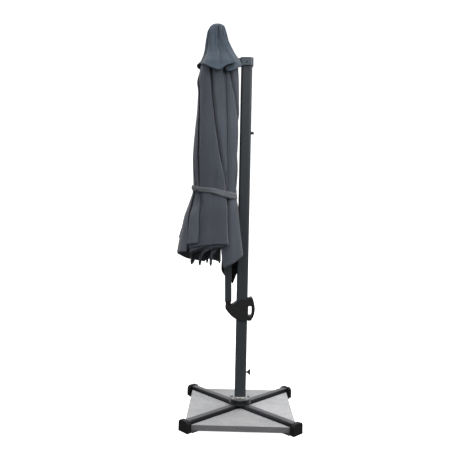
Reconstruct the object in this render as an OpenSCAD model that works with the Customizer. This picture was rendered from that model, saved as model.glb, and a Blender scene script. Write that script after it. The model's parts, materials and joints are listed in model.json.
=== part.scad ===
// Cantilever parasol on a weighted cross base, folded and tied.
// Origin: on the floor, on the mast's turning axis. +Z up, the boom and canopy on the -X side.

/* [Base] */
// Distance from the mast axis to the tip of each foot cap
arm_reach = 486; // [476:1:492]
// Width of a cross arm
arm_w = 46; // [40:1:50]
// Height of a cross arm
arm_h = 60; // [55:1:62]
// Distance from the mast axis to the outer edge of a slab
slab_half = 335; // [320:1:338]
// Thickness of a slab
slab_t = 38; // [30:1:42]

/* [Mast] */
// Width of the mast tube across the fold plane's X direction
mast_w = 74; // [73:1:75]
// Depth of the mast tube
mast_d = 50; // [49:1:51]
// Corner radius of the mast tube
mast_r = 14; // [10:1:15]
// Wall of the mast tube
mast_wall = 3; // [2.5:0.1:3]
// Height of the stop peg
peg_z = 1841; // [1800:1:1880]
// Height of the wing knob
knob_z = 268; // [240:1:320]

/* [Linkage] */
// Distance of the head and slider pivots from the mast axis
link_x = 90; // [88:1:92]
// Height of the head pivot
head_z = 2310; // [2300:1:2320]
// Length of the strut, and of each half of the boom
link = 806; // [800:1:808]
// Angle between the folded boom and the mast
fold_a = 1.2; // [1.15:0.05:1.25]

/* [Canopy] */
// Distance of the canopy axis from the mast axis
canopy_x = 198; // [196:1:200]
// Height of the rib hinge ring
notch_z = 2400; // [2395:1:2405]
// Length of a rib
rib_len = 1412; // [1380:1:1430]
// Flare of the folded ribs
rib_flare = 2.9; // [2.7:0.1:3.0]
// Outer radius of the tied cloth at the strap
cinch_r = 140; // [138:1:142]

/* [Hidden] */
$fn = 64;

eps = 0.01;
arm_z = 6;
slab_z = arm_z;
arm_top = arm_z + arm_h;
cap_l = 26;
cap_w = 84;
boss_h = 26;
flange_z = arm_top + 6 + boss_h;
spig_r = 19;
mast_z0 = flange_z + 11;
mast_top = 2318;
slider_z = head_z - 2 * link * cos(fold_a);
tip_x = link_x + 2 * link * sin(fold_a);
elbow_x = link_x + link * sin(fold_a);
elbow_z = head_z - link * cos(fold_a);
boom_w = 44;
boom_d = 34;
bar_y0 = 20;
bar_t = 8;
rib_n = 8;
rib_r0 = 38;
rib_w = 12;
rib_h = 18;
stretch_at = 360;
runner_z = 1690;
runner_r = 26;
pole_r = 12.5;

dark = "#2b2e33";
black = "#1b1c1e";
zinc = "#a9acb0";
stone = "#a3a4a5";
nylon = "#d8d8d2";
cloth = "#44484f";

// Rounded rectangle, centred
module rr(w, d, r) {
  square([w - 2 * r, d], center = true);
  square([w, d - 2 * r], center = true);
  for (x = [-1, 1], y = [-1, 1]) translate([x * (w / 2 - r), y * (d / 2 - r)]) circle(r);
}
// Bolt across Y with a round head at y0 and its end at y1
module bolt_y(r, y0, y1, head_r, head_t) {
  translate([0, y0, 0]) rotate([-90, 0, 0]) cylinder(r = r, h = y1 - y0);
  translate([0, y0 - head_t, 0]) rotate([-90, 0, 0]) cylinder(r = head_r, h = head_t);
}
module cyl_y(r, y0, y1) translate([0, y0, 0]) rotate([-90, 0, 0]) cylinder(r = r, h = y1 - y0);
module cyl_x(r, x0, x1) translate([x0, 0, 0]) rotate([0, 90, 0]) cylinder(r = r, h = x1 - x0);
module tube_z(ro, ri, h) difference() { cylinder(r = ro, h = h); translate([0, 0, -1]) cylinder(r = ri, h = h + 2); }
// Outline in the X-Z plane, extruded along Y
module xz(y0, y1) translate([0, y1, 0]) rotate([90, 0, 0]) linear_extrude(y1 - y0) children();

// ---- base ----
module arm(a, half) {
  color(dark) rotate([0, 0, a]) difference() {
    union() {
      translate([-(arm_reach - 6), -arm_w / 2, arm_z]) cube([2 * (arm_reach - 6), arm_w, arm_h]);
      for (s = [-1, 1], e = [0, 1]) mirror([e, 0, 0]) translate([100, s > 0 ? 0 : -52, arm_z - 4]) cube([arm_reach - cap_l - 103, 52, 4]);
    }
    translate([-arm_reach, -arm_w / 2 + 3, arm_z + 3]) cube([2 * arm_reach, arm_w - 6, arm_h - 6]);
    translate([-arm_w / 2 - 0.2, -arm_w, half > 0 ? arm_z + arm_h / 2 : arm_z - 1]) cube([arm_w + 0.4, 2 * arm_w, arm_h / 2 + 1]);
  }
}
module cross_arm_a() arm(45, 1);
module cross_arm_b() arm(-45, -1);
module foot_cap(a) {
  color(black) rotate([0, 0, a]) translate([arm_reach - cap_l, 0, 0]) difference() {
    rotate([90, 0, 90]) linear_extrude(cap_l) {
      translate([-cap_w / 2, 0]) square([cap_w, 48]);
      translate([-cap_w / 2 + 22, 0]) square([cap_w - 44, 70]);
      for (s = [-1, 1]) translate([s * (cap_w / 2 - 22), 48]) circle(22);
    }
    translate([-1, -arm_w / 2 - 0.2, arm_z - 0.2]) cube([cap_l - 4.5, arm_w + 0.4, arm_h + 0.4]);
    for (s = [-1, 1]) translate([13, s * 32, -1]) cylinder(r = 5, h = 3);
  }
}
module foot_cap_front_left() foot_cap(225);
module foot_cap_front_right() foot_cap(315);
module foot_cap_back_left() foot_cap(135);
module foot_cap_back_right() foot_cap(45);
module slab(a) {
  c = (arm_w / 2 + 4) * sqrt(2);
  color(stone) rotate([0, 0, a]) translate([0, 0, slab_z]) linear_extrude(slab_t)
    polygon([[-(slab_half - c), -slab_half], [slab_half - c, -slab_half], [3, -c - 3], [-3, -c - 3]]);
}
module slab_front() slab(0);
module slab_right() slab(90);
module slab_back() slab(180);
module slab_left() slab(270);
module hub_plate() {
  color(dark) translate([0, 0, arm_top]) difference() {
    union() { cylinder(r = 70, h = 6); cylinder(r = 64, h = 6 + boss_h); }
    for (i = [0:3]) rotate([0, 0, 90 * i]) translate([56, 0, -1]) cylinder(r = 5.3, h = boss_h + 10);
  }
}
module spigot() {
  color(zinc) {
    translate([0, 0, flange_z]) difference() {
      union() { cylinder(r = 68, h = 6); cylinder(r = spig_r, h = 344); }
      translate([0, 0, -1]) cylinder(r = spig_r - 3, h = 350);
      for (i = [0:3]) rotate([0, 0, 90 * i]) translate([56, 0, -1]) cylinder(r = 5.3, h = 8);
    }
  }
}
module hub_bolts() {
  color(zinc) for (i = [0:3]) rotate([0, 0, 90 * i]) translate([56, 0, flange_z + 6]) {
    cylinder(r = 8.8, h = 2);
    translate([0, 0, 2]) cylinder(r = 8, h = 6, $fn = 6);
    translate([0, 0, -boss_h - 19]) cylinder(r = 5, h = boss_h + 20);
  }
}
module hub_nuts() {
  color(zinc) for (i = [0:3]) rotate([0, 0, 90 * i]) translate([56, 0, arm_top - 8]) difference() {
    cylinder(r = 9, h = 8, $fn = 6);
    translate([0, 0, -1]) cylinder(r = 5.05, h = 10);
  }
}
module thrust_washer() color(nylon) translate([0, 0, flange_z + 6]) tube_z(40, spig_r + 0.1, 5);

// ---- mast ----
module mast_tube() {
  color(dark) difference() {
    translate([0, 0, mast_z0]) linear_extrude(mast_top - mast_z0) difference() {
      rr(mast_w, mast_d, mast_r);
      rr(mast_w - 2 * mast_wall, mast_d - 2 * mast_wall, mast_r - mast_wall);
    }
    translate([0, 0, knob_z]) cyl_x(6.1, 20, 50);
    translate([0, 0, peg_z]) cyl_x(4.1, 20, 50);
  }
}
module bush(z, h) color(nylon) translate([0, 0, z]) linear_extrude(h) difference() {
  rr(mast_w - 2 * mast_wall - 0.2, mast_d - 2 * mast_wall - 0.2, mast_r - mast_wall);
  circle(spig_r + 0.06);
}
module lower_bush() bush(mast_z0 + 6, 50);
module upper_bush() bush(flange_z + 290, 50);
module mast_head() {
  color(dark) difference() {
    union() {
      translate([0, 0, 2281]) linear_extrude(47) rr(mast_w + 14, mast_d + 18, 20);
      translate([-57, -24, 2281]) cube([37, 48, 47]);
      xz(-19, 19) { translate([-link_x, head_z]) circle(18); translate([-link_x, head_z - 18]) square([link_x - 40, 36]); }
    }
    translate([0, 0, 2270]) linear_extrude(mast_top - 2270) rr(mast_w + 0.2, mast_d + 0.2, mast_r);
    translate([-link_x, 0, head_z]) cyl_y(5.05, -30, 30);
    for (s = [-1, 1]) translate([0, 0, 2302]) cyl_y(3.2, s > 0 ? 25 : -40, s > 0 ? 40 : -25);
  }
}
module head_cap() color(black) translate([0, 0, 2328]) linear_extrude(5) rr(mast_w + 11, mast_d + 15, 18);
module head_rivets() color(zinc) for (s = [0, 1]) mirror([0, s, 0]) translate([0, 0, 2302]) { cyl_y(3.1, 26, 34); cyl_y(6, 34, 36); }
module stop_peg() color(black) translate([0, 0, peg_z]) { cyl_x(4, mast_w / 2 - 8, mast_w / 2 + 2); cyl_x(9.5, mast_w / 2, mast_w / 2 + 18); }
module knob_insert() color(zinc) translate([0, 0, knob_z]) difference() {
  union() { cyl_x(6, mast_w / 2 - 9, mast_w / 2 + 1); cyl_x(10, mast_w / 2, mast_w / 2 + 3); }
  cyl_x(4.06, 10, 60);
}
module wing_knob() color(black) translate([0, 0, knob_z]) {
  cyl_x(4, spig_r + 0.4, 50);
  cyl_x(9, mast_w / 2 + 6, 57);
  xz(-4, 4) polygon([[46, -7], [57, -18], [63, -20], [65, -18], [65, 18], [63, 20], [57, 18], [46, 7]]);
}

// ---- strut ----
module bar_2d() {
  circle(16);
  translate([0, -link]) circle(16);
  translate([-13, -link]) square([26, link]);
}
module strut_bar(y0) color(dark) translate([-link_x, 0, head_z]) rotate([0, fold_a, 0]) difference() {
  xz(y0, y0 + bar_t) bar_2d();
  for (z = [0, -link, -110]) translate([0, 0, z]) cyl_y(5.05, -40, 40);
}
module strut_bar_front() strut_bar(-bar_y0 - bar_t);
module strut_bar_rear() strut_bar(bar_y0);
module strut_spacer() color(zinc) translate([-link_x, 0, head_z]) rotate([0, fold_a, 0]) translate([0, 0, -110]) {
  cyl_y(6, -bar_y0, bar_y0);
  cyl_y(5, -bar_y0 - bar_t, bar_y0 + bar_t);
  for (s = [0, 1]) mirror([0, s, 0]) cyl_y(8, bar_y0 + bar_t, bar_y0 + bar_t + 3);
}
module head_bolt() color(zinc) translate([-link_x, 0, head_z]) bolt_y(5, -bar_y0 - bar_t, 38, 9, 5);
module nut_y(y) difference() { translate([0, y, 0]) rotate([-90, 0, 0]) cylinder(r = 9, h = 8, $fn = 6); cyl_y(5.05, y - 1, y + 9); }
module head_nut() color(zinc) translate([-link_x, 0, head_z]) nut_y(bar_y0 + bar_t);
module elbow_bolt() color(zinc) translate([-elbow_x, 0, elbow_z]) bolt_y(5, -bar_y0 - bar_t, 38, 9, 5);
module elbow_nut() color(zinc) translate([-elbow_x, 0, elbow_z]) nut_y(bar_y0 + bar_t);
module elbow_washers() color(nylon) translate([-elbow_x, 0, elbow_z]) for (s = [0, 1]) mirror([0, s, 0])
  difference() { cyl_y(13, boom_d / 2 + 0.4, bar_y0); cyl_y(5.06, 0, 30); }

// ---- boom: local frame with the slider pivot at the origin, the boom along +Z ----
module boom_place() translate([-link_x, 0, slider_z]) rotate([0, -fold_a, 0]) children();
module boom_tube() color(dark) boom_place() difference() {
  translate([0, 0, 40]) linear_extrude(2 * link - 40 - 34) difference() { rr(boom_w, boom_d, 9); rr(boom_w - 5, boom_d - 5, 6.5); }
  translate([0, 0, link]) cyl_y(8.1, -30, 30);
}
module boom_foot() color(black) boom_place() difference() {
  union() {
    xz(-16, 16) { circle(20); translate([-18, 0]) square([36, 30]); }
    translate([0, 0, 30]) linear_extrude(10) rr(boom_w, boom_d, 9);
    translate([0, 0, 39]) linear_extrude(51) rr(boom_w - 5.2, boom_d - 5.2, 6.4);
  }
  cyl_y(5.06, -30, 30);
}
module boom_tip() color(black) boom_place() translate([0, 0, 2 * link]) difference() {
  union() {
    xz(-13, 13) { circle(15); translate([-15, -26]) square([30, 26]); }
    translate([0, 0, -34]) linear_extrude(8) rr(boom_w, boom_d, 9);
    translate([0, 0, -84]) linear_extrude(51) rr(boom_w - 5.2, boom_d - 5.2, 6.4);
  }
  translate([-30, -5, -18]) cube([60, 10, 60]);
  cyl_y(5.05, -30, 30);
}
module elbow_sleeve() color(nylon) boom_place() translate([0, 0, link]) difference() {
  cyl_y(8, -boom_d / 2, boom_d / 2);
  cyl_y(5.06, -30, 30);
}
module tip_pin() color(zinc) translate([-tip_x, 0, head_z]) { bolt_y(5, -13, 16, 8, 3); cyl_y(7, 13, 16); }

// ---- slider ----
slider_out = [[-109, 692], [-108, 700], [-104, 706], [-97, 710], [-84, 709], [-70, 710], [-52, 722], [-32, 737], [0, 746], [38, 753], [50, 760], [58, 762], [66, 760],
  [71, 752], [76.5, 738], [82, 716], [85, 692], [84, 674], [81, 656], [76, 640], [70, 627], [62, 615], [54, 610], [45, 610], [34, 614],
  [0, 614], [-34, 618], [-50, 626], [-66, 638], [-80, 652], [-92, 666], [-103, 680]];
grip_hole = [[41.5, 644], [44, 641], [52, 640], [59, 642], [63, 648], [64.5, 662], [64.5, 684], [63.5, 698], [60, 705], [52, 707], [45, 706], [41.5, 702]];
trig_x = 70;
trig_z = 700;
module slider_cut() {
  translate([0, 0, 600]) linear_extrude(200) rr(mast_w + 5.2, mast_d + 8.2, 17.1);
  xz(-boom_d / 2 - 1, boom_d / 2 + 1) { translate([-link_x, slider_z]) circle(25); polygon([[-160, slider_z - 12], [-link_x, slider_z - 12], [-link_x + 25, slider_z], [-link_x + 25, 800], [-160, 800]]); }
  translate([-link_x, 0, slider_z]) cyl_y(5.06, -60, 60);
  xz(-60, 60) polygon(grip_hole);
  xz(-8.4, 8.4) polygon([[50, 644], [68, 644], [74, 649], [77, 672], [78.5, 708], [50, 708]]);
  translate([trig_x, 0, trig_z]) { cyl_y(9, -16.4, 16.4); cyl_y(3.02, -28, 28); }
  translate([38, -10.2, 654]) cube([2.2, 20.4, 42]);
  for (p = [[-56, 652], [50, 621], [56, 744], [-46, 712]]) translate([p[0], 0, p[1]]) { cyl_y(2.6, -60, 20); cyl_y(5, -60, -30); }
}
module slider_half(y0, y1) color(black) difference() { xz(y0, y1) polygon(slider_out); slider_cut(); }
module slider_shell_front() slider_half(-36, 0);
module slider_shell_rear() slider_half(0, 36);
module slider_liner() color(nylon) difference() {
  translate([0, 0, 626]) linear_extrude(102) difference() { rr(mast_w + 5, mast_d + 8, 17); rr(mast_w + 0.8, mast_d + 0.8, mast_r + 0.4); }
  translate([30, -10.2, 654]) cube([20, 20.4, 42]);
}
module slider_screws() color(zinc) for (p = [[-56, 652], [50, 621], [56, 744], [-46, 712]]) translate([p[0], 0, p[1]]) { cyl_y(2.5, -31, 18); cyl_y(4.6, -34, -30); }
module foot_bolt() color(zinc) translate([-link_x, 0, slider_z]) bolt_y(5, -36, 46, 9, 5);
module foot_nut() color(zinc) translate([-link_x, 0, slider_z]) nut_y(36);
module brake_pad() color(black) translate([mast_w / 2 + 0.5, -10, 655]) cube([2.4, 20, 40]);
module trigger_pin() color(zinc) translate([trig_x, 0, trig_z]) cyl_y(3, -27, 27);
module trigger_spring() color(zinc) translate([trig_x, 0, trig_z]) for (i = [0:3]) translate([0, 9.9 + 1.7 * i, 0]) rotate([90, 0, 0])
  rotate_extrude() translate([4.2, 0]) circle(0.8, $fn = 24);
module release_trigger() color("#3a3c40") difference() {
  union() {
    translate([trig_x, 0, trig_z]) cyl_y(6.5, -8.3, 8.3);
    xz(-8, 8) polygon([[trig_x - 5, trig_z - 1], [trig_x + 5, trig_z - 1], [74, 672], [70, 653], [68, 650], [65.5, 650.5], [64.5, 655], [64, 672], [64.3, 690]]);
  }
  translate([trig_x, 0, trig_z]) cyl_y(3.05, -10, 10);
}

// ---- canopy frame: local frame on the canopy axis ----
module canopy_place() translate([-canopy_x, 0, 0]) children();
function rib_az(i) = 22.5 + 45 * i;
// The ribs hang unevenly: those on the open side stand further out, those at the front lean towards it
rib_extra = [0, 0, 0, 1.4, 1.4, 0.9, 0, 0];
rib_lean = [1.8, 0, 0, 0, 0, -1.2, -2.2, -1.8];
function rib_out(i) = rib_flare + rib_extra[i];
function rib_lat(i) = rib_lean[i];
module rib_place(i) canopy_place() rotate([0, 0, rib_az(i)]) translate([rib_r0, 0, notch_z]) rotate([rib_lat(i), -rib_out(i), 0]) children();
module hub_carrier() color(dark) canopy_place() difference() {
  union() {
    translate([0, 0, head_z - 25]) cylinder(r = 20, h = 50);
    xz(-4.5, 4.5) { translate([canopy_x - tip_x, head_z]) circle(15); translate([0, head_z - 15]) square([canopy_x - tip_x, 30]); }
  }
  translate([0, 0, head_z - 30]) cylinder(r = pole_r + 0.05, h = 60);
  translate([canopy_x - tip_x, 0, head_z]) cyl_y(5.06, -20, 20);
}
module canopy_pole() color(dark) canopy_place() translate([0, 0, 1600]) tube_z(pole_r, pole_r - 2, 905);
module ring_cut(r, z, m) canopy_place() translate([0, 0, z]) rotate_extrude() translate([r, 0]) circle(m, $fn = 32);
module slotted_hub(ro, z, h, r_in, slot, rw) color(black) difference() {
  canopy_place() translate([0, 0, z - h / 2]) cylinder(r = ro, h = h);
  canopy_place() translate([0, 0, z - h]) cylinder(r = pole_r + 0.06, h = 2 * h);
  for (i = [0:rib_n - 1]) canopy_place() rotate([0, 0, rib_az(i)]) translate([r_in, -slot / 2, z - h]) cube([60, slot, 2 * h]);
  ring_cut(rw, z, 2.1);
}
module top_notch() slotted_hub(50, notch_z, 30, 26, 14, rib_r0);
module runner() slotted_hub(33, runner_z, 36, 18, 9, runner_r);
module hinge_wires() color(zinc) { ring_cut(rib_r0, notch_z, 2); ring_cut(runner_r, runner_z, 2); }
module ribs() color(dark) difference() {
  for (i = [0:rib_n - 1]) rib_place(i) translate([-rib_h / 2, -rib_w / 2, -rib_len]) difference() {
    cube([rib_h, rib_w, rib_len + 9]);
    translate([1.5, 1.5, -1]) cube([rib_h - 3, rib_w - 3, rib_len - 19]);
    translate([rib_h / 2, rib_w / 2, rib_len - stretch_at]) cyl_y(2.1, -20, 20);
  }
  ring_cut(rib_r0, notch_z, 2.12);
}
// Stretcher: from its pin on the rib down to the runner's hinge wire
module pin_place(i) rib_place(i) translate([0, 0, -stretch_at]) children();
module stretch_place(i) {
  rt = rib_r0 + stretch_at * sin(rib_out(i));
  zt = notch_z - stretch_at * cos(rib_out(i));
  yt = stretch_at * sin(rib_lat(i));
  lean = atan((rt - runner_r) / (zt - runner_z));
  lat = -atan(yt / (zt - runner_z));
  canopy_place() rotate([0, 0, rib_az(i)]) translate([rt, yt, zt]) rotate([lat, lean, 0]) children();
}
stretch_l = sqrt(pow(rib_r0 + stretch_at * sin(rib_flare) - runner_r, 2) + pow(notch_z - stretch_at * cos(rib_flare) - runner_z, 2));
module stretchers() color(dark) difference() {
  for (i = [0:rib_n - 1]) stretch_place(i) {
    for (s = [0, 1]) mirror([0, s, 0]) translate([-8, 6.3, -26]) cube([14, 2.2, 33]);
    translate([-15, -8.5, -40]) cube([14, 17, 16]);
    translate([-13, -4, -stretch_l + 20]) cube([10, 8, stretch_l - 50]);
    translate([-6.5, -3.5, -stretch_l - 7]) cube([11.5, 7, 36]);
  }
  for (i = [0:rib_n - 1]) pin_place(i) cyl_y(2.1, -20, 20);
  ring_cut(runner_r, runner_z, 2.12);
  for (i = [0:rib_n - 1]) rib_place(i) translate([-rib_h / 2 - 0.4, -rib_w / 2 - 0.2, -rib_len]) cube([rib_h + 0.8, rib_w + 0.4, rib_len]);
  canopy_place() cylinder(r = pole_r + 0.3, h = 2600);
}
module stretcher_pins() color(zinc) for (i = [0:rib_n - 1]) pin_place(i) cyl_y(2, -9.5, 9.5);
module rib_tips() color(black) for (i = [0:rib_n - 1]) rib_place(i) translate([0, 0, -rib_len]) {
  translate([-rib_h / 2, -rib_w / 2, -6]) cube([rib_h, rib_w, 6]);
  translate([-6, -4.4, -18]) cube([12, 8.8, 13]);
}
module hood_finial() color(black) canopy_place() translate([0, 0, 2505]) {
  cylinder(r = 40, h = 24);
  translate([0, 0, 24]) rotate_extrude() polygon([[0, 0], [40, 0], [37, 8], [30, 15], [18, 20], [0, 22]]);
}

// ---- cloth, as closed solids of the tied bundle ----
fabric_out = [[0, 1012], [200, 1012], [214, 1050], [206, 1110], [178, 1230], [154, 1340], [cinch_r, 1405], [cinch_r, 1490], [144, 1600], [140, 1800], [134, 2050], [130, 2285], [100, 2330], [62, 2372], [0, 2372]];
fabric_in = [[0, 1000], [160, 1000], [157, 1080], [144, 1250], [132, 1400], [127, 1500], [123, 1800], [118, 2150], [114, 2275], [86, 2320], [51, 2360], [51, 2400], [0, 2400]];
module canopy_fabric() color(cloth) canopy_place() difference() {
  union() {
    difference() { rotate_extrude() polygon(fabric_out); rotate_extrude() polygon(fabric_in); }
    xz(-74, -44) polygon([[128, 1013], [188, 1050], [184, 1020], [150, 975], [120, 855], [104, 858], [88, 940], [104, 1013]]);
  }
  translate([30, -40, 900]) cube([300, 80, 1500]);
  translate([191, -300, 800]) cube([100, 600, 700]);
}
hood_out = [[0, 2568], [30, 2566], [50, 2553], [60, 2530], [66, 2490], [76, 2440], [92, 2390], [112, 2340], [146, 2285]];
hood_in = [[139, 2285], [105, 2340], [85, 2390], [69, 2440], [59, 2490], [53, 2530], [44, 2549], [28, 2559], [0, 2560]];
module vent_hood() color(cloth) canopy_place() difference() {
  rotate_extrude() polygon(concat(hood_out, hood_in));
  translate([40, -40, 2200]) cube([300, 80, 150]);
}
module tie_strap() color(cloth) canopy_place() difference() {
  translate([0, 0, 1424]) tube_z(cinch_r + 4.6, cinch_r + 0.3, 40);
  translate([30, -40, 900]) cube([300, 80, 1500]);
}

cross_arm_a();
cross_arm_b();
foot_cap_front_left();
foot_cap_front_right();
foot_cap_back_left();
foot_cap_back_right();
slab_front();
slab_right();
slab_back();
slab_left();
hub_plate();
spigot();
hub_bolts();
hub_nuts();
thrust_washer();
mast_tube();
lower_bush();
upper_bush();
mast_head();
head_cap();
head_rivets();
stop_peg();
knob_insert();
wing_knob();
strut_bar_front();
strut_bar_rear();
strut_spacer();
head_bolt();
head_nut();
elbow_bolt();
elbow_nut();
elbow_washers();
boom_tube();
boom_foot();
boom_tip();
elbow_sleeve();
tip_pin();
slider_shell_front();
slider_shell_rear();
slider_liner();
slider_screws();
foot_bolt();
foot_nut();
brake_pad();
trigger_pin();
trigger_spring();
release_trigger();
hub_carrier();
canopy_pole();
top_notch();
runner();
hinge_wires();
ribs();
stretchers();
stretcher_pins();
rib_tips();
hood_finial();
canopy_fabric();
vent_hood();
tie_strap();
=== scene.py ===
import json
import math

import bpy
from mathutils import Matrix, Vector, noise


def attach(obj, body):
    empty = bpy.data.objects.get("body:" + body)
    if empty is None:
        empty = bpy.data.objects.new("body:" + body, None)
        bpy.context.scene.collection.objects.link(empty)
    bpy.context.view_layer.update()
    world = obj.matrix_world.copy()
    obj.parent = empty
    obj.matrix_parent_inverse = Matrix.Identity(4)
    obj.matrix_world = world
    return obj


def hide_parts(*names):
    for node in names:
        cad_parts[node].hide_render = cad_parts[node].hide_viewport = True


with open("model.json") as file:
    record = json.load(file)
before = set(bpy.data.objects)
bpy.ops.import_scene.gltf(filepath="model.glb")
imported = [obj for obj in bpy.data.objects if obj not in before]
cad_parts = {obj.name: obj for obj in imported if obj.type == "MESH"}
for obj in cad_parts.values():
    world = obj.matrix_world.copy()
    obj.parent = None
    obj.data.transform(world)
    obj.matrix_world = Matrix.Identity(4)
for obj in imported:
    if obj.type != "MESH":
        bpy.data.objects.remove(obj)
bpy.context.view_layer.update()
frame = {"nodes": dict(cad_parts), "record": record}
NODES = frame["nodes"]
scene = bpy.context.scene

AX = -0.198  # canopy axis
TOP = 2.42  # height of the cloth's centre
RHO = 1.42  # rib length under the cloth


# ---------- small helpers ----------
def lerp(a, b, t):
    return a + (b - a) * t


def sm(t):
    t = min(1.0, max(0.0, t))
    return t * t * (3 - 2 * t)


def table(rows, x):
    """Smooth interpolation of a table of (x, y), x rising."""
    if x <= rows[0][0]:
        return rows[0][1]
    for (x0, y0), (x1, y1) in zip(rows, rows[1:]):
        if x <= x1:
            return lerp(y0, y1, (x - x0) / (x1 - x0))
    return rows[-1][1]


def smooth_table(rows, x, w):
    return sum(table(rows, x + w * k / 4) * (5 - abs(k)) for k in range(-4, 5)) / 25.0


def n3(x, y, z):
    return noise.noise(Vector((x, y, z)))


def mesh_object(name, verts, faces, uvs=None, smooth=True, extra=None):
    me = bpy.data.meshes.new(name)
    me.from_pydata(verts, [], faces)
    for layer_name, values in (("UVMap", uvs), ("HemMap", extra)):
        if not values:
            continue
        layer = me.uv_layers.new(name=layer_name)
        for poly in me.polygons:
            for li in poly.loop_indices:
                layer.data[li].uv = values[me.loops[li].vertex_index]
    for poly in me.polygons:
        poly.use_smooth = smooth
    ob = bpy.data.objects.new(name, me)
    scene.collection.objects.link(ob)
    return ob


# ---------- materials ----------
class Mat:
    def __init__(self, name, color, rough=0.5, metallic=0.0):
        self.m = bpy.data.materials.new(name)
        self.m.use_nodes = True
        self.t = self.m.node_tree
        self.b = self.t.nodes["Principled BSDF"]
        self.b.inputs["Base Color"].default_value = (*color, 1)
        self.b.inputs["Roughness"].default_value = rough
        self.b.inputs["Metallic"].default_value = metallic
        self.height = None

    def node(self, kind, **inputs):
        n = self.t.nodes.new(kind)
        for k, v in inputs.items():
            key = k.replace("_", " ")
            if key in n.inputs:
                n.inputs[key].default_value = v
            else:
                setattr(n, k, v)
        return n

    def link(self, a, b):
        self.t.links.new(a, b)

    def coords(self, which="Object", scale=(1, 1, 1)):
        tc = self.node("ShaderNodeTexCoord")
        mp = self.node("ShaderNodeMapping")
        mp.inputs["Scale"].default_value = scale
        self.link(tc.outputs[which], mp.inputs["Vector"])
        return mp.outputs["Vector"]

    def noise(self, vec, scale, detail=3.0, rough=0.55):
        n = self.node("ShaderNodeTexNoise")
        n.inputs["Scale"].default_value = scale
        n.inputs["Detail"].default_value = detail
        n.inputs["Roughness"].default_value = rough
        self.link(vec, n.inputs["Vector"])
        return n.outputs["Fac"]

    def ramp(self, fac, stops):
        r = self.node("ShaderNodeValToRGB")
        e = r.color_ramp.elements
        while len(e) < len(stops):
            e.new(0.5)
        for el, (p, c) in zip(e, stops):
            el.position = p
            el.color = (*c, 1)
        self.link(fac, r.inputs["Fac"])
        return r.outputs["Color"]

    def mix(self, fac, a, b, blend="MIX"):
        m = self.node("ShaderNodeMix")
        m.data_type = "RGBA"
        m.blend_type = blend
        if isinstance(fac, (int, float)):
            m.inputs[0].default_value = fac
        else:
            self.link(fac, m.inputs[0])
        for sock, v in ((m.inputs[6], a), (m.inputs[7], b)):
            if isinstance(v, tuple):
                sock.default_value = (*v, 1)
            else:
                self.link(v, sock)
        return m.outputs[2]

    def math(self, op, a, b=None):
        m = self.node("ShaderNodeMath")
        m.operation = op
        for i, v in enumerate((a, b)):
            if v is None:
                continue
            if isinstance(v, (int, float)):
                m.inputs[i].default_value = v
            else:
                self.link(v, m.inputs[i])
        return m.outputs[0]

    def color(self, c):
        self.link(c, self.b.inputs["Base Color"])

    def rough(self, fac, lo, hi):
        r = self.node("ShaderNodeMapRange")
        r.inputs["To Min"].default_value = lo
        r.inputs["To Max"].default_value = hi
        self.link(fac, r.inputs["Value"])
        self.link(r.outputs["Result"], self.b.inputs["Roughness"])

    def bump(self, height, strength, distance):
        n = self.node("ShaderNodeBump")
        n.inputs["Strength"].default_value = strength
        n.inputs["Distance"].default_value = distance
        self.link(height, n.inputs["Height"])
        if self.height is not None:
            self.link(self.height, n.inputs["Normal"])
        self.height = n.outputs["Normal"]
        self.link(self.height, self.b.inputs["Normal"])


def cloth_material(name, dark, mid, light, deep=0.34):
    weave_uv = True
    m = Mat(name, mid, 0.88)
    m.b.inputs["Sheen Weight"].default_value = 0.22
    m.b.inputs["Sheen Roughness"].default_value = 0.5
    m.b.inputs["Specular IOR Level"].default_value = 0.25
    obj = m.coords("Object")
    streak = m.noise(m.coords("Object", (9, 9, 0.9)), 2.2, 4.0)
    cloud = m.noise(obj, 5.0, 3.0)
    both = m.mix(0.45, streak, cloud)
    col = m.ramp(both, [(0.3, dark), (0.52, mid), (0.75, light)])
    vec = m.coords("UV" if weave_uv else "Object", (1, 1, 1))
    waves = []
    for axis in ("X", "Y"):
        w = m.node("ShaderNodeTexWave")
        w.wave_type = "BANDS"
        w.bands_direction = axis
        w.inputs["Scale"].default_value = 190.0
        w.inputs["Distortion"].default_value = 0.6
        w.inputs["Detail"].default_value = 1.0
        m.link(vec, w.inputs["Vector"])
        waves.append(w.outputs["Fac"])
    weave = m.math("MULTIPLY", waves[0], waves[1])
    slub = m.noise(m.coords("UV" if weave_uv else "Object", (40, 900, 1)), 1.0, 2.0)
    col = m.mix(m.math("MULTIPLY", weave, 0.16), col, tuple(c * 1.6 for c in light))
    col = m.mix(m.math("MULTIPLY", slub, 0.10), col, dark)
    # painted shade: the hem map's second value, times deep, darkens the inner and covered layers where shade falls, and
    # a line of stitches runs 18 mm from each hem
    hem = m.node("ShaderNodeUVMap")
    hem.uv_map = "HemMap"
    sep = m.node("ShaderNodeSeparateXYZ")
    m.link(hem.outputs["UV"], sep.inputs["Vector"])
    col = m.mix(m.math("MULTIPLY", sep.outputs["Y"], deep), col, tuple(c * 0.35 for c in dark))
    off = m.math("ABSOLUTE", m.math("SUBTRACT", sep.outputs["X"], 0.018))
    line = m.math("LESS_THAN", off, 0.0016)
    band = m.math("LESS_THAN", sep.outputs["X"], 0.018)
    col = m.mix(m.math("MULTIPLY", line, 0.35), col, dark)
    col = m.mix(m.math("MULTIPLY", band, 0.10), col, light)
    m.color(col)
    m.rough(cloud, 0.8, 0.95)
    m.bump(band, 0.25, 0.0012)
    m.bump(weave, 0.28, 0.0006)
    m.bump(slub, 0.12, 0.0005)
    m.bump(m.noise(m.coords("Object", (30, 30, 6)), 1.0, 4.0), 0.35, 0.004)
    return m.m


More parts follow.
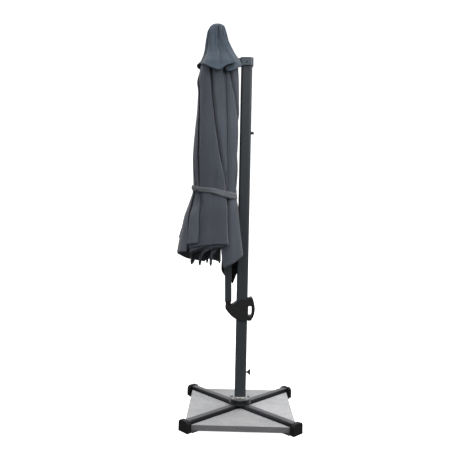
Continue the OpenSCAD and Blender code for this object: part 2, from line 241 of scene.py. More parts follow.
def paint_material(name, dark, light, rough=0.42, shine=0.45, painted_top_light=0.0):
    m = Mat(name, dark, rough)
    m.b.inputs["Specular IOR Level"].default_value = shine
    v = m.coords("Object")
    cloud = m.noise(m.coords("Object", (6, 6, 0.7)), 1.5, 3.0)
    m.color(m.ramp(cloud, [(0.3, dark), (0.7, light)]))
    orange = m.noise(v, 420.0, 2.0)
    m.rough(m.noise(v, 18.0, 3.0), rough - 0.08, rough + 0.1)
    m.bump(orange, 0.10, 0.0006)
    # convex edges, found by pointiness, are mixed towards a lighter colour
    geo = m.node("ShaderNodeNewGeometry")
    edge = m.math("MULTIPLY", m.math("SUBTRACT", geo.outputs["Pointiness"], 0.52), 6.0)
    edge_lift = m.math("MULTIPLY", m.math("MAXIMUM", edge, 0.0), 0.6)
    base = m.b.inputs["Base Color"].links[0].from_socket
    base = m.mix(edge_lift, base, tuple(min(1, c * 3.2) for c in light))
    if painted_top_light:
        # painted light: faces that look up are mixed towards a lighter grey, as the overhead light falls on them
        sep = m.node("ShaderNodeSeparateXYZ")
        m.link(m.coords("Normal"), sep.inputs["Vector"])
        up = m.ramp(sep.outputs["Z"], [(0.5, (0, 0, 0)), (0.95, (1, 1, 1))])
        base = m.mix(m.math("MULTIPLY", up, painted_top_light), base, (0.20, 0.20, 0.215))
    m.color(base)
    return m.m


def plastic_material(name, dark, light, rough=0.5, shine=0.5):
    m = Mat(name, dark, rough)
    m.b.inputs["Specular IOR Level"].default_value = shine
    v = m.coords("Object")
    m.color(m.ramp(m.noise(v, 14.0, 3.0), [(0.3, dark), (0.75, light)]))
    grain = m.noise(v, 900.0, 2.0)
    m.bump(grain, 0.22, 0.0005)
    m.rough(m.noise(v, 30.0, 3.0), rough - 0.07, rough + 0.1)
    return m.m


def slab_material(name, gain=1.0):
    m = Mat(name, (0.5, 0.5, 0.5), 0.8)
    v = m.coords("Object")
    vein = m.noise(m.coords("Object", (4.5, 9, 4.5)), 1.6, 6.0, 0.62)
    fine = m.noise(v, 60.0, 5.0, 0.7)
    speck = m.noise(v, 260.0, 2.0)
    base = m.ramp(vein, [(0.30, (0.27, 0.272, 0.275)), (0.46, (0.345, 0.348, 0.352)), (0.60, (0.43, 0.43, 0.436)), (0.76, (0.36, 0.35, 0.367))])
    col = m.mix(0.35, base, m.ramp(fine, [(0.35, (0.27, 0.27, 0.27)), (0.65, (0.47, 0.47, 0.47))]))
    col = m.mix(0.12, col, m.ramp(speck, [(0.42, (0.2, 0.2, 0.2)), (0.55, (0.7, 0.7, 0.7))]))
    # gain below 1 mixes the colour towards dark, above 1 towards pale grey
    if gain < 1:
        col = m.mix(1 - gain, col, (0.05, 0.049, 0.05))
    elif gain > 1:
        col = m.mix(gain - 1, col, (0.86, 0.86, 0.89))
    # painted shade: faces that do not look up are mixed towards dark grey, as they get less of the overhead light
    sep = m.node("ShaderNodeSeparateXYZ")
    m.link(m.coords("Normal"), sep.inputs["Vector"])
    edge = m.ramp(sep.outputs["Z"], [(0.35, (1, 1, 1)), (0.85, (0, 0, 0))])
    col = m.mix(m.math("MULTIPLY", edge, 0.62), col, (0.10, 0.096, 0.104))
    m.color(col)
    m.rough(fine, 0.7, 0.9)
    m.bump(fine, 0.22, 0.003)
    m.bump(speck, 0.2, 0.0015)
    return m.m


def metal_material(name, color, rough):
    m = Mat(name, color, rough, 1.0)
    v = m.coords("Object")
    spangle = m.node("ShaderNodeTexVoronoi")
    spangle.inputs["Scale"].default_value = 120.0
    m.link(v, spangle.inputs["Vector"])
    m.color(m.mix(0.22, color, spangle.outputs["Color"], "SOFT_LIGHT"))
    m.rough(m.noise(v, 70.0, 4.0), rough - 0.1, rough + 0.14)
    m.bump(m.noise(m.coords("Object", (1, 1, 8)), 160.0, 3.0), 0.12, 0.0008)
    return m.m


M_PAINT = paint_material("charcoal_powder_coat", (0.0125, 0.0150, 0.0174), (0.0205, 0.0242, 0.0276))
# the arms' last value paints light on their up-facing faces
M_ARM = paint_material("base_powder_coat", (0.008, 0.0085, 0.010), (0.013, 0.0135, 0.016), 0.36, 0.26, 0.22)
M_BLACK = plastic_material("moulded_black", (0.012, 0.0123, 0.013), (0.019, 0.0195, 0.0207), 0.56, 0.32)
M_CAP = plastic_material("foot_black", (0.009, 0.009, 0.0095), (0.015, 0.015, 0.016), 0.6, 0.22)
M_HEAD = paint_material("head_powder_coat", (0.024, 0.031, 0.038), (0.037, 0.047, 0.056))
M_TRIG = plastic_material("moulded_grey", (0.05, 0.052, 0.056), (0.075, 0.078, 0.083))
M_NYLON = plastic_material("natural_nylon", (0.62, 0.61, 0.57), (0.72, 0.71, 0.67), 0.4)
M_RUBBER = plastic_material("brake_rubber", (0.008, 0.008, 0.008), (0.016, 0.016, 0.016), 0.8)
M_ZINC = metal_material("bright_zinc", (0.72, 0.73, 0.74), 0.3)
M_FLANGE = metal_material("dull_zinc", (0.36, 0.37, 0.38), 0.45)
M_BOLT = plastic_material("black_oxide", (0.014, 0.0145, 0.0155), (0.022, 0.023, 0.025), 0.42)
M_SLAB = slab_material("cast_slab")
# painted shade on the front slab and painted light on the right slab, as if shaded in front and lit from the right
M_SLAB_FRONT = slab_material("cast_slab_painted_shade", 0.86)
M_SLAB_RIGHT = slab_material("cast_slab_painted_light", 1.08)
M_SLAB_BACK = slab_material("cast_slab_dull", 0.92)
M_CLOTH = cloth_material("slate_canopy", (0.056, 0.063, 0.077), (0.072, 0.081, 0.099), (0.092, 0.102, 0.124))
M_HOOD = cloth_material("slate_hood", (0.029, 0.043, 0.058), (0.038, 0.054, 0.074), (0.051, 0.071, 0.094))
M_STRAP = cloth_material("slate_tie", (0.089, 0.096, 0.107), (0.113, 0.121, 0.134), (0.142, 0.151, 0.167))
# painted shade: a darkened copy of the canopy cloth, for cloth that lies in shade
M_CLOTH_SHADE = cloth_material("slate_canopy_painted_shade", (0.014, 0.0145, 0.0155), (0.02, 0.021, 0.0225), (0.03, 0.031, 0.033))

SLOTS = {"dark_paint": M_PAINT, "black_plastic": M_BLACK, "grey_slab": M_SLAB, "zinc_steel": M_ZINC, "nylon": M_NYLON, "rubber_pad": M_RUBBER, "canopy_cloth": M_CLOTH}
slot_of = {s["node"]: s["material_slot"] for s in frame["record"]["subparts"]}
BEVEL = {"grey_slab": 0.004, "black_plastic": 0.003, "dark_paint": 0.0012, "zinc_steel": 0.0006, "nylon": 0.0006, "rubber_pad": 0.0008}
BEVEL_NODE = {"slider_shell_front": 0.006, "slider_shell_rear": 0.006, "mast_head": 0.004, "head_cap": 0.002, "foot_cap_front_left": 0.007, "foot_cap_front_right": 0.007, "foot_cap_back_left": 0.007, "foot_cap_back_right": 0.007, "cross_arm_a": 0.004, "cross_arm_b": 0.004, "wing_knob": 0.002, "release_trigger": 0.0025}
MATERIAL_NODE = {"slab_front": M_SLAB_FRONT, "slab_right": M_SLAB_RIGHT, "slab_back": M_SLAB_BACK, "cross_arm_a": M_ARM, "cross_arm_b": M_ARM, "hub_plate": M_ARM, "release_trigger": M_TRIG, "spigot": M_FLANGE, "hub_bolts": M_FLANGE, "head_rivets": M_BOLT, "slider_screws": M_BOLT, "foot_bolt": M_BOLT, "foot_nut": M_BOLT, "trigger_pin": M_BOLT, "hub_nuts": M_BOLT, "stop_peg": M_BOLT, "mast_head": M_HEAD, "head_cap": M_HEAD, "foot_cap_front_left": M_CAP, "foot_cap_front_right": M_CAP, "foot_cap_back_left": M_CAP, "foot_cap_back_right": M_CAP}
NO_BEVEL = {"canopy_fabric", "vent_hood", "tie_strap", "hinge_wires", "trigger_spring", "mast_tube"}

# nodes whose faces are joined along their edges, so that the edges can be rounded
JOINED = {"slab_front", "slab_right", "slab_back", "slab_left", "foot_cap_front_left", "foot_cap_front_right", "foot_cap_back_left", "foot_cap_back_right"}


def roll_top_edges(ob):
    """The tube's two long top edges have a larger radius than its cut ends."""
    pts = [ob.matrix_world @ v.co for v in ob.data.vertices]
    top = max(p.z for p in pts)
    edge_of = {}
    for turn in (45, -45):
        a = math.radians(turn)
        lat = [p.y * math.cos(a) - p.x * math.sin(a) for p in pts]
        edge_of[max(abs(v) for v, p in zip(lat, pts) if p.z > top - 1e-4)] = lat
    half = min(edge_of)
    lat = edge_of[half]
    weight = ob.data.attributes.new("bevel_weight_edge", "FLOAT", "EDGE")
    for e in ob.data.edges:
        i, j = e.vertices
        if min(pts[i].z, pts[j].z) > top - 1e-4 and min(abs(lat[i]), abs(lat[j])) > half - 1e-4 and lat[i] * lat[j] > 0:
            weight.data[e.index].value = 1.0
    ob.modifiers.new("joined_edges", "WELD").merge_threshold = 1e-5
    b = ob.modifiers.new("rolled_edges", "BEVEL")
    b.width = 0.008
    b.segments = 5
    b.limit_method = "WEIGHT"
    b.use_clamp_overlap = False


for name, ob in NODES.items():
    mat = MATERIAL_NODE.get(name, SLOTS[slot_of[name]])
    if not ob.material_slots:
        ob.data.materials.append(mat)
    for s in ob.material_slots:
        s.material = mat
    if name in ("cross_arm_a", "cross_arm_b"):
        roll_top_edges(ob)
    if name in JOINED:
        ob.modifiers.new("joined_edges", "WELD").merge_threshold = 1e-5
    if name not in NO_BEVEL:
        b = ob.modifiers.new("soft_edges", "BEVEL")
        b.width = BEVEL_NODE.get(name, BEVEL.get(slot_of[name], 0.001))
        b.segments = 3
        b.limit_method = "ANGLE"
        b.angle_limit = math.radians(40)
        b.harden_normals = False
    if name in JOINED or name in ("cross_arm_a", "cross_arm_b"):
        ob.modifiers.new("flat_faces", "WEIGHTED_NORMAL").weight = 90

# ---------- furled canopy ----------
# Centre and half width of the bundle by height, and the azimuth that each pleat's fold reaches, by height.
CENTRE = [(0.95, -0.221), (1.067, -0.221), (1.15, -0.2175), (1.223, -0.2133), (1.295, -0.2075), (1.355, -0.195), (1.40, -0.1925), (1.45, -0.187), (1.532, -0.1856), (1.677, -0.1878), (1.822, -0.183), (1.967, -0.1776), (2.09, -0.176), (2.158, -0.1765), (2.2, -0.178), (2.26, -0.176), (2.42, -0.182)]
HALF = [(0.95, 0.228), (1.067, 0.2175), (1.15, 0.206), (1.223, 0.193), (1.295, 0.1825), (1.355, 0.170), (1.40, 0.1575), (1.452, 0.146), (1.50, 0.147), (1.58, 0.1515), (1.677, 0.154), (1.822, 0.1525), (1.967, 0.143), (2.09, 0.140), (2.158, 0.139), (2.2, 0.138), (2.26, 0.131), (2.29, 0.124), (2.36, 0.088), (2.42, 0.05)]
ROOT = [22.5 + 45 * g for g in range(8)]  # rib azimuths
TIPS = [
    [(1.0, 176), (1.45, 158), (1.9, 128), (2.2, 100), (2.4, 75)],
    [(1.0, 229), (1.12, 226), (1.24, 219), (1.34, 211), (1.45, 203), (1.9, 178), (2.2, 146), (2.4, 120)],
    [(1.0, 252), (1.2, 249), (1.36, 238), (1.48, 221), (1.8, 216), (2.2, 190), (2.4, 165)],
    [(1.0, 309), (1.3, 305), (1.48, 297), (1.55, 292), (1.63, 284), (1.8, 269), (1.96, 256), (2.08, 248), (2.25, 243), (2.4, 215)],
    [(1.0, 303), (1.3, 300), (1.42, 301), (1.48, 304), (1.62, 302), (1.85, 296), (2.25, 287), (2.4, 262)],
    [(1.0, 298), (1.3, 299), (1.40, 306), (1.46, 322), (1.7, 334), (1.9, 334), (2.0, 322), (2.1, 311), (2.25, 297), (2.4, 300)],
    [(1.0, 343), (1.4, 340), (1.7, 342), (2.1, 340), (2.25, 338), (2.4, 330)],
    [(1.0, 112), (1.45, 100), (1.9, 74), (2.2, 54), (2.4, 40)],
]
OVER = [[7], [7, 0], [7, 0, 1], [0, 1, 2], [1, 2, 3], [2, 3, 4], [3, 4, 5], []]  # pleats that lie over each pleat
SAG = [(-0.012, -0.030), (0.03, 0.050), (0.0, -0.012), (0.0, 0.0), (0.01, 0.008), (0.01, 0.02), (0.015, 0.066), (0.01, 0.02)]
SAG_RIGHT = [(0.0, -0.02), (0.40, -0.02), (0.43, 0.06), (0.455, 0.126), (0.48, 0.124), (0.53, 0.117), (0.66, 0.102), (0.83, 0.080), (1.0, 0.066)]  # right panel, out from its rib
SLOT_Y = 0.042


def bell(a, centre, width):
    return math.exp(-(((a - centre) / width) ** 2))


def envelope(th, z):
    """Outer radius of the bundle about its centre, in direction th (degrees)."""
    h = smooth_table(HALF, z, 0.035)
    c, s = math.cos(math.radians(th)), math.sin(math.radians(th))
    deep = 0.93 if s < 0 else 0.97
    p = 2.25
    bulge = 0.0085 * math.exp(-(((z - 2.165) / 0.04) ** 2)) * math.exp(-(((th - 184) / 24.0) ** 2))
    return h / (abs(c) ** p + (abs(s) / deep) ** p) ** (1 / p) + bulge


FLARE = [2.9, 2.9, 2.9, 4.3, 4.3, 3.8, 2.9, 2.9]
LEAN = [0, 0, 0, 0, 0, -1.2, -2.2, 0]


def rib_at(i, rho):
    """Azimuth and radius at which the cloth lies on rib i, rho along it."""
    k = i % 8
    d = max(0.0, rho - 0.02)
    r = 0.038 + d * math.sin(math.radians(FLARE[k])) + 0.012
    t = d * math.sin(math.radians(LEAN[k]))
    turn = 9.0 * min(1.0, rho / 0.5) * (1 if k == 0 else -1 if k == 7 else 0)
    return 22.5 + 45 * i + math.degrees(math.atan2(t, r)) + turn, math.hypot(r, t)


def rib_clear(th, rho):
    """Radius that clears the ribs in direction th."""
    r = rib_at(1, rho)[1]
    best = r
    for i in (3, 4, 5, 6):
        a, ri = rib_at(i, rho)
        best = max(best, r + (ri - r) * (1 - sm((abs(th - a) - 18) / 24.0)))
    return best


def canopy():
    cols = 80  # per gore
    rows = 150
    verts, faces, uvs, extra = [], [], [], []
    index = {}
    total = cols * 8
    for j in range(total):
        g, q = divmod(j, cols)
        q = q / cols
        phi = math.radians((q - 0.5) * 45.0)
        rmax = RHO * math.cos(math.radians(22.5)) / math.cos(phi)
        for i in range(rows + 1):
            v = i / rows
            rho = lerp(0.05, rmax, v ** 0.9)
            z = TOP - rho * 0.9987
            zt = min(2.4, max(1.0, z))
            span = rho / rmax
            cx = smooth_table(CENTRE, z, 0.03)
            (a0, rr), (a1, r1) = rib_at(g, rho), rib_at(g + 1, rho)
            tip = smooth_table(TIPS[g], zt, 0.05)
            hem = max(0.0, (span - 0.80) / 0.20)
            across = 0.16
            if g == 7 and q < across:
                # the mast side's gore first crosses between its two ribs, inside the boom
                w = q / across
                ang0, ang1 = math.radians(a0), math.radians(a1)
                x = AX + rr * lerp(math.cos(ang0), math.cos(ang1), w) - 0.25 * rr * math.sin(math.pi * w)
                y = rr * lerp(math.sin(ang0), math.sin(ang1), w)
                verts.append((x, y, z))
                uvs.append((phi * rho + g * 1.2, rho))
                # painted shade: the crossing inside the boom is fully darkened
                extra.append((rmax - rho, 1.0))
                index[j, i] = len(verts) - 1
                continue
            qq = (q - across) / (1 - across) if g == 7 else q
            out = qq < 0.5
            k = qq * 2 if out else (1 - qq) * 2  # 0 at the rib, 1 at the fold
            if g in (1, 2):
                k = 1 - (1 - k) ** 1.7
            if not out:
                rr = r1
            start = a1 - 360 if g == 7 else (a0 if out else a1)
            th = lerp(start, tip, k)
            cover = 0.0
            for h in OVER[g]:
                t_h = smooth_table(TIPS[h], zt, 0.05)
                cover += sm((t_h - th) / 13.0 + 0.92)
            env = envelope(th, z)
            clear = rib_clear(th, rho)
            room = max(0.02, env - clear)
            gap = min(0.0155, room / 3.6)
            thick = 0.40 * gap
            big = env - gap * cover - (0 if out else thick)
            if k > 0.92:
                big = lerp(big, env - gap * cover - thick * 0.5, sm((k - 0.92) / 0.08))
            # long soft wrinkles, stronger below the strap
            ww = 0.0022 + 0.0050 * sm((1.40 - z) / 0.3) + 0.0024 * sm((z - 1.5) / 0.5)
            big += ww * n3(th * 0.055 + 3.1 * g, z * 1.6, 0.7 * g + 1.3) * min(1, span * 3)
            big += 0.0016 * n3(th * 0.16, z * 5.0, g * 2.2)
            # gathers that run into the strap
            tie = math.exp(-(((z - 1.45) / 0.16) ** 2))
            left = math.exp(-(((th - 212) / 26.0) ** 2))
            big += tie * (0.0022 + 0.003 * left) * math.sin(math.radians(th * 14 + 40 * g)) * (0.4 + 0.6 * abs(n3(th * 0.03, z * 2, 5.5)))
            # folds that fan out below the knot
            fan = sm((1.448 - z) / 0.012) * (1 - sm((1.41 - z) / 0.15))
            if g == 2:
                big -= 0.017 * fan * bell(th, 226.0, 4.5) + 0.010 * fan * bell(th, 212.0, 4.0)
            if g == 3:
                big -= 0.010 * fan * bell(th, smooth_table(TIPS[2], zt, 0.05) + 3.0, 5.0)
            # each covering fold presses a groove beside its edge
            upper = sm((z - 1.50) / 0.06)
            if g in (4, 5, 6):
                big -= 0.011 * upper * (1 - sm((z - 2.22) / 0.06)) * bell(th, smooth_table(TIPS[4], zt, 0.05) - 3.5, 5.0)
            for h in OVER[g]:
                if h == 4:
                    continue
                t_h = smooth_table(TIPS[h], zt, 0.05)
                big -= 0.006 * math.exp(-(((th - t_h - 3.0) / 5.0) ** 2)) * sm((z - 1.46) / 0.06)
            big = max(big, clear + 0.002)
            quick = 30.0 if not (g == 6 and out) else lerp(30.0, 7.0, sm((1.42 - z) / 0.2))
            rise = sm(k * max(20.0, abs(tip - start)) / quick)
            r = lerp(rr, big, rise)
            mx = lerp(AX, cx, rise)
            x = mx + r * math.cos(math.radians(th))
            y = r * math.sin(math.radians(th))
            if 300 < th < 350:
                x += 0.020 * hem * sm((th - 305) / 30.0)
            # keep clear of the boom's way out towards the mast
            if x > AX + 0.028 and abs(y) < SLOT_Y:
                side = 1 if g in (0, 7) else -1
                y = side * (SLOT_Y + 0.002 * abs(n3(x * 9, z * 3, 1.0)))
            sag = smooth_table(SAG_RIGHT, k, 0.02) if g == 6 and out else lerp(SAG[g][0], SAG[g][1], k)
            zz = z - sag * hem ** 1.5 + 0.010 * hem * n3(th * 0.03, g * 3.3, 0.4)
            verts.append((x, y, zz))
            uvs.append((phi * rho + g * 1.2, rho))
            # painted shade: the second value darkens cloth covered by other pleats, the pleats' inner halves, cloth
            # near the ribs and the front pleat below the strap
            extra.append((rmax - rho, min(1.0, (0.44 + 0.52 * sm((1.46 - z) / 0.06) if g == 3 and out else 0.0) + 0.22 * cover + (0 if out else 0.20 * sm((1 - k) / 0.1)) + (1 - rise) * 0.28)))
            index[j, i] = len(verts) - 1
    for j in range(total):
        j2 = (j + 1) % total
        for i in range(rows):
            faces.append((index[j, i], index[j2, i], index[j2, i + 1], index[j, i + 1]))
    ob = mesh_object("canopy_cloth", verts, faces, uvs, extra=extra)
    ob.data.materials.append(M_CLOTH)
    s = ob.modifiers.new("cloth_thickness", "SOLIDIFY")
    s.thickness = 0.0012
    s.offset = 0
    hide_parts("canopy_fabric")
    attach(ob, "canopy")
    return ob


cloth = canopy()

# ---------- corner that hangs behind the boom ----------
CORNER = [(-0.140, 0.935), (-0.135, 0.914), (-0.122, 0.897), (-0.095, 0.872), (-0.068, 0.846), (-0.062, 0.842), (-0.052, 0.868), (-0.042, 0.898), (-0.032, 0.922), (-0.020, 0.955)]


def corner():
    verts, faces, uvs, extra, index = [], [], [], [], {}
    cols, rows = 36, 40
    for j in range(cols + 1):
        xb = lerp(-0.140, -0.020, j / cols)
        low = smooth_table(CORNER, xb, 0.004)
        for i in range(rows + 1):
            v = i / rows
            z = lerp(1.16, low, v)
            x = lerp(-0.140, lerp(-0.095, -0.020, sm((1.16 - z) / 0.19)), j / cols)
            y = 0.0385 + 0.0035 * math.sin((x + 0.1) * 90 + z * 5) * v + 0.002 * n3(x * 20, z * 8, 4.0)
            verts.append((x + 0.004 * n3(z * 12, 3.0, x * 5) * v, y, z))
            uvs.append((x, z))
            extra.append((z - low, 0.0))
            index[j, i] = len(verts) - 1
    for j in range(cols):
        for i in range(rows):
            faces.append((index[j, i], index[j, i + 1], index[j + 1, i + 1], index[j + 1, i]))
    ob = mesh_object("canopy_corner", verts, faces, uvs, extra=extra)
    # painted shade: the front face takes the darkened cloth, the back face (material offset 1) the plain cloth
    ob.data.materials.append(M_CLOTH_SHADE)
    ob.data.materials.append(M_CLOTH)
    s = ob.modifiers.new("cloth_thickness", "SOLIDIFY")
    s.thickness = 0.0012
    s.offset = 0
    s.material_offset = 1
    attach(ob, "canopy")
    return ob


corner_ob = corner()

# ---------- vent hood ----------
HOOD_C = [(2.2, -0.171), (2.279, -0.171), (2.31, -0.173), (2.345, -0.180), (2.389, -0.188), (2.448, -0.199), (2.501, -0.2015), (2.536, -0.198), (2.563, -0.196)]
HOOD_H = [(2.193, 0.176), (2.223, 0.170), (2.279, 0.1484), (2.31, 0.129), (2.345, 0.108), (2.389, 0.090), (2.448, 0.0725), (2.501, 0.0607), (2.534, 0.047), (2.548, 0.034), (2.554, 0.020), (2.558, 0.0)]
# The rim's height by azimuth, and the deep fold at the right of the front: (turn along the cloth, azimuth, inset)
RIM = [(0, 2.343), (20, 2.343), (34, 2.30), (45, 2.285), (90, 2.262), (135, 2.262), (160, 2.267), (176, 2.279), (190, 2.280), (208, 2.275), (228, 2.262), (253, 2.223), (267, 2.211), (274, 2.215), (281, 2.239), (289, 2.251), (300, 2.260), (307, 2.265)]
RIM_IN = [(284, 2.217), (289, 2.209), (300, 2.215), (313, 2.234), (330, 2.258), (341, 2.270), (348, 2.335), (360, 2.343)]
FOLD = [(0.0, 0.0, 0.0), (0.74, 307.0, 0.0), (0.765, 307.5, 0.006), (0.83, 285.0, 0.024), (0.85, 284.0, 0.027), (0.97, 341.0, 0.004), (1.0, 360.0, 0.0)]


def fold_at(u):
    for (u0, t0, d0), (u1, t1, d1) in zip(FOLD, FOLD[1:]):
        if u <= u1:
            w = (u - u0) / (u1 - u0)
            return lerp(t0, t1, w), lerp(d0, d1, w)
    return 360.0, 0.0


def hood():
    cols, rows = 240, 60
    verts, faces, uvs, extra, index = [], [], [], [], {}
    peak = 2.5565
    for j in range(cols):
        u = j / cols
        th_fold, inset = fold_at(u)
        # the monotone turn that the cloth has near its top
        th_top = u / 0.74 * 300.0 if u < 0.74 else lerp(300.0, 360.0, (u - 0.74) / 0.26)
        low = smooth_table(RIM, th_fold, 5.0) if u < 0.775 else smooth_table(RIM_IN, th_fold, 4.0)
        if 0.765 < u < 0.84:
            low = lerp(2.265, 2.217, sm((u - 0.765) / 0.07))
        for i in range(rows + 1):
            v = i / rows
            z = peak - (peak - low) * (v ** 1.7 if v < 0.3 else lerp(0.3 ** 1.7, 1.0, (v - 0.3) / 0.7))
            skirt = sm((v - 0.30) / 0.62)
            th = lerp(th_top, th_fold, skirt)
            t = math.radians(th)
            r = smooth_table(HOOD_H, z, 0.008)
            if u < 0.775:
                # rim corner pulled out at the left, crease down the front, ridge with a valley beside it at the right
                folds = sm((v - 0.06) / 0.35)
                ridge = lerp(298.0, 307.0, v)
                crease = lerp(287.0, 266.0, sm(v / 0.8))
                r += folds * (0.012 * bell(th, ridge, 7.0) - 0.011 * bell(th, ridge + 15.0, 8.0))
                r -= folds * (0.013 * bell(th, crease, 6.5) * (1 - 0.7 * sm((v - 0.72) / 0.28)) + 0.008 * bell(th, crease, 17.0))
                r += folds * (0.010 * bell(th, 237.0, 11.0) - 0.006 * bell(th, 217.0, 9.0))
                r -= 0.010 * bell(th, 205.0, 12.0) * skirt
                r += 0.005 * math.cos(8 * t) * skirt * sm((abs(th - 250) - 70) / 30)
            dome = sm(v / 0.18) * (1 - sm((v - 0.46) / 0.42))
            r += 0.014 * dome * (abs(math.sin(7.5 * t + 0.9)) - 0.64) * (0.75 + 0.7 * n3(math.cos(t) * 2, math.sin(t) * 2, 3.1))
            r += 0.0030 * skirt * n3(th * 0.05, z * 7, 2.0)
            r -= inset * skirt * sm((v - 0.35) / 0.4)
            if v > 0.93:  # the hem turns out a little
                r += 0.006 * (v - 0.93) / 0.07 * (1.6 if 165 < th < 200 else 0.5)
            if i == 0:
                r = 0.0
            cx = smooth_table(HOOD_C, z, 0.012)
            x = cx + r * math.cos(t)
            y = r * math.sin(t) * 0.97
            verts.append((x, y, z))
            uvs.append((u * 0.9, z))
            # painted shade: the cloth tucked into the deep fold at the front's right is darkened
            extra.append(((z - low) * 1.05, 0.6 if u > 0.775 and th < 330 and skirt > 0.5 and u < 0.86 else 0.0))
            index[j, i] = len(verts) - 1
    for j in range(cols):
        j2 = (j + 1) % cols
        for i in range(rows):
            faces.append((index[j, i], index[j, i + 1], index[j2, i + 1], index[j2, i]))
    ob = mesh_object("hood_cloth", verts, faces, uvs, extra=extra)
    ob.data.materials.append(M_HOOD)
    w = ob.modifiers.new("close_top", "WELD")
    w.merge_threshold = 0.0006
    s = ob.modifiers.new("cloth_thickness", "SOLIDIFY")
    s.thickness = 0.0014
    s.offset = 0
    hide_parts("vent_hood")
    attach(ob, "canopy")
    return ob


hood_ob = hood()

# ---------- tie strap ----------
STRAP_Z = [(20, 1.455), (180, 1.468), (215, 1.463), (262, 1.452), (285, 1.437), (305, 1.426), (340, 1.419)]
STRAP_W = [(20, 0.028), (215, 0.028), (262, 0.030), (285, 0.036), (305, 0.040), (340, 0.038)]


def strap():
    verts, faces, uvs, extra, index = [], [], [], [], {}
    a0, a1, cols, rows = 30.0, 335.0, 240, 12
    for j in range(cols + 1):
        th = lerp(a0, a1, j / cols)
        t = math.radians(th)
        zc = smooth_table(STRAP_Z, th, 8.0) + 0.003 * n3(th * 0.05, 0.2, 7.0)
        wide = smooth_table(STRAP_W, th, 8.0)
        roll = 0.0035 * math.sin(th * 0.11)
        for i in range(rows + 1):
            w = i / rows - 0.5
            z = zc + w * wide
            r = max(envelope(th, z), envelope(th, 1.452)) + 0.0045
            r += 0.0034 * math.cos(w * math.pi) + roll * w - 0.0022 * math.exp(-(((w - 0.12 * math.sin(th * 0.07)) / 0.10) ** 2))
            r -= 0.0045 * sm((th - 316) / 20.0)
            cx = smooth_table(CENTRE, z, 0.03)
            x, y = cx + r * math.cos(t), r * math.sin(t)
            if x > AX + 0.028 and abs(y) < SLOT_Y + 0.004:
                y = math.copysign(SLOT_Y + 0.004, y)
            verts.append((x, y, z))
            uvs.append((t * 0.14, z))
            extra.append((0.5 * wide - abs(w * wide), 0.0))
            index[j, i] = len(verts) - 1
    for j in range(cols):
        for i in range(rows):
            faces.append((index[j, i], index[j + 1, i], index[j + 1, i + 1], index[j, i + 1]))
    ob = mesh_object("strap_band", verts, faces, uvs, extra=extra)
    ob.data.materials.append(M_STRAP)
    s = ob.modifiers.new("cloth_thickness", "SOLIDIFY")
    s.thickness = 0.0024
    s.offset = 1
    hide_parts("tie_strap")
    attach(ob, "canopy")
    return ob


strap_ob = strap()


def ribbon(name, path, sides, widths, mat, thick=0.0022):
    """A band swept along path, with a side vector and a width at each point."""
    verts, faces, uvs, extra = [], [], [], []
    m = 6
    dist = 0.0
    for a, (p, sv, w) in enumerate(zip(path, sides, widths)):
        if a:
            dist += (Vector(p) - Vector(path[a - 1])).length
        for b in range(m + 1):
            f = b / m - 0.5
            q = Vector(p) + Vector(sv).normalized() * (f * w)
            verts.append(tuple(q))
            uvs.append((dist, f * w))
            extra.append((0.5 * w - abs(f * w), 0.0))
    for a in range(len(path) - 1):
        for b in range(m):
            o = a * (m + 1) + b
            faces.append((o, o + 1, o + m + 2, o + m + 1))
    ob = mesh_object(name, verts, faces, uvs, extra=extra)
    ob.data.materials.append(mat)
    s = ob.modifiers.new("cloth_thickness", "SOLIDIFY")
    s.thickness = thick
    s.offset = 0
    return ob


def knot():
    """Flat bow of the tie on the left of the front: a wrap and two loops."""
    th = 214.0
    t = math.radians(th)
    zc = 1.470
    n = Vector((math.cos(t), math.sin(t), 0))
    e = Vector((-math.sin(t), math.cos(t), 0))  # along the strap, towards the front
    up_v = Vector((0, 0, 1))
    base = Vector((smooth_table(CENTRE, zc, 0.03), 0, zc)) + n * (envelope(th, 1.452) + 0.013)
    made = []
    loops = [(-1, 0.030, 0.30, 0.010, 0.026), (1, 0.034, -0.22, 0.012, 0.027)]
    for k, (sgn, ln, tilt, fat, w) in enumerate(loops):
        pts, sides, widths = [], [], []
        d = (e * sgn + up_v * tilt).normalized()
        for a in range(25):
            f = a / 24.0
            ang = 2 * math.pi * f
            along = ln * 0.5 * (1 - math.cos(ang))
            lift = fat * math.sin(ang) * (0.6 + 0.4 * math.sin(ang / 2))
            pts.append(tuple(base + d * along + n * (lift + 0.001 * k)))
            sides.append(tuple((up_v - d * up_v.dot(d)).normalized()))
            widths.append(w * (0.55 + 0.45 * math.sin(math.pi * min(1, along / ln * 0.9 + 0.1))))
        made.append(ribbon("tie_loop_%d" % (k + 1), pts, sides, widths, M_STRAP))
    pts, sides, widths = [], [], []
    for a in range(25):
        ang = 2 * math.pi * a / 24.0
        pts.append(tuple(base + up_v * 0.013 * math.cos(ang) + n * (0.0115 * math.sin(ang) + 0.001)))
        sides.append(tuple(e))
        widths.append(0.016)
    made.append(ribbon("tie_wrap", pts, sides, widths, M_STRAP))
    return made


for ob, size in zip(knot(), ((0.024, 0.07), (0.025, 0.078), (0.016, 0.079))):
    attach(ob, "canopy")

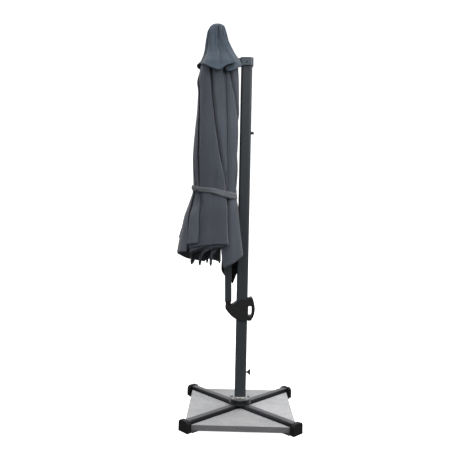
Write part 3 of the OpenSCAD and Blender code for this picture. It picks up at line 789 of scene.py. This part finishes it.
# ---------- camera, light and floor ----------
cam_data = bpy.data.cameras.new("camera")
cam_data.sensor_fit = "HORIZONTAL"
cam_data.sensor_width = 36.0
cam_data.lens = 36.0 * 531.84 / 450.0
cam_data.clip_end = 200
cam = bpy.data.objects.new("camera", cam_data)
scene.collection.objects.link(cam)
yaw, pitch, roll = math.radians(0.875), math.radians(-0.001), math.radians(1.17)
look = Vector((-math.sin(yaw) * math.cos(pitch), math.cos(yaw) * math.cos(pitch), -math.sin(pitch)))
right = Vector((math.cos(yaw), math.sin(yaw), 0))
up = right.cross(look)
right, up = right * math.cos(roll) + up * math.sin(roll), up * math.cos(roll) - right * math.sin(roll)
rot = Matrix((right, up, -look)).transposed()
rise = 0.065  # the lens is shifted, so that the mast stays upright in the picture
cam_data.shift_y = -(531.84 * rise / 3.5053 + 0.55) / 450.0
cam.matrix_world = Matrix.Translation(Vector((-0.0686, -3.5053, 1.2358)) + up * rise) @ rot.to_4x4()
scene.camera = cam
scene.view_settings.view_transform = "Standard"

def studio_world():
    """Soft light, strongest from overhead; the background itself is white."""
    w = bpy.data.worlds.new("studio")
    w.use_nodes = True
    t = w.node_tree
    t.nodes.clear()
    out = t.nodes.new("ShaderNodeOutputWorld")
    soft = t.nodes.new("ShaderNodeBackground")
    plain = t.nodes.new("ShaderNodeBackground")
    plain.inputs["Color"].default_value = (1, 1, 1, 1)
    coord = t.nodes.new("ShaderNodeTexCoord")
    sep = t.nodes.new("ShaderNodeSeparateXYZ")
    span = t.nodes.new("ShaderNodeMapRange")
    span.inputs["From Min"].default_value = -1.0
    ramp = t.nodes.new("ShaderNodeValToRGB")
    e = ramp.color_ramp.elements
    e.new(0.5)
    e.new(0.62)
    for el, (pos, c) in zip(e, ((0.0, 0.24), (0.44, 0.18), (0.58, 0.23), (1.0, 1.0))):
        el.position = pos
        el.color = (c, c, c * 1.02, 1)
    path = t.nodes.new("ShaderNodeLightPath")
    mix = t.nodes.new("ShaderNodeMixShader")
    t.links.new(coord.outputs["Generated"], sep.inputs["Vector"])
    t.links.new(sep.outputs["Z"], span.inputs["Value"])
    t.links.new(span.outputs["Result"], ramp.inputs["Fac"])
    t.links.new(ramp.outputs["Color"], soft.inputs["Color"])
    t.links.new(path.outputs["Is Camera Ray"], mix.inputs["Fac"])
    t.links.new(soft.outputs["Background"], mix.inputs[1])
    t.links.new(plain.outputs["Background"], mix.inputs[2])
    t.links.new(mix.outputs["Shader"], out.inputs["Surface"])
    scene.world = w


studio_world()


def area_light(name, place, target, size, power):
    d = bpy.data.lights.new(name, "AREA")
    d.shape = "RECTANGLE"
    d.size, d.size_y = size
    d.energy = power
    o = bpy.data.objects.new(name, d)
    o.location = place
    o.rotation_euler = (Vector(target) - Vector(place)).to_track_quat("-Z", "Y").to_euler()
    scene.collection.objects.link(o)


area_light("key", (2.1, -2.3, 3.4), (-0.15, 0, 1.8), (2.0, 2.0), 72)
area_light("fill", (-2.4, -2.4, 2.9), (-0.2, 0, 1.8), (2.0, 2.0), 26)
area_light("top", (0.1, -0.2, 4.6), (0.1, -0.2, 0.0), (3.0, 3.0), 90)


def backdrop(name, prof, glossy):
    verts, faces = [], []
    for y, z in prof:
        verts += [(-12, y, z - 0.0005), (12, y, z - 0.0005)]
    for i in range(len(prof) - 1):
        faces.append((2 * i, 2 * i + 1, 2 * i + 3, 2 * i + 2))
    ob = mesh_object(name, verts, faces)
    m = Mat("pale_" + name, (0.93, 0.93, 0.93), 0.9)
    v = m.coords("Object")
    m.color(m.ramp(m.noise(v, 0.8, 2.0), [(0.3, (0.92, 0.92, 0.92)), (0.7, (0.95, 0.95, 0.95))]))
    m.b.inputs["Emission Color"].default_value = (1, 1, 1, 1)
    m.b.inputs["Emission Strength"].default_value = 0.85
    ob.data.materials.append(m.m)
    ob.visible_diffuse = False
    ob.visible_glossy = glossy


curve = [(6.0 + 3.0 * math.sin(math.radians(7.5 * k)), 3.0 - 3.0 * math.cos(math.radians(7.5 * k))) for k in range(13)]
backdrop("floor", [(-9.0, 0.0), (-4.0, 0.0), (0.0, 0.0), (5.0, 0.0), (6.0, 0.0)], False)
backdrop("wall", curve + [(9.0, 9.0)], True)
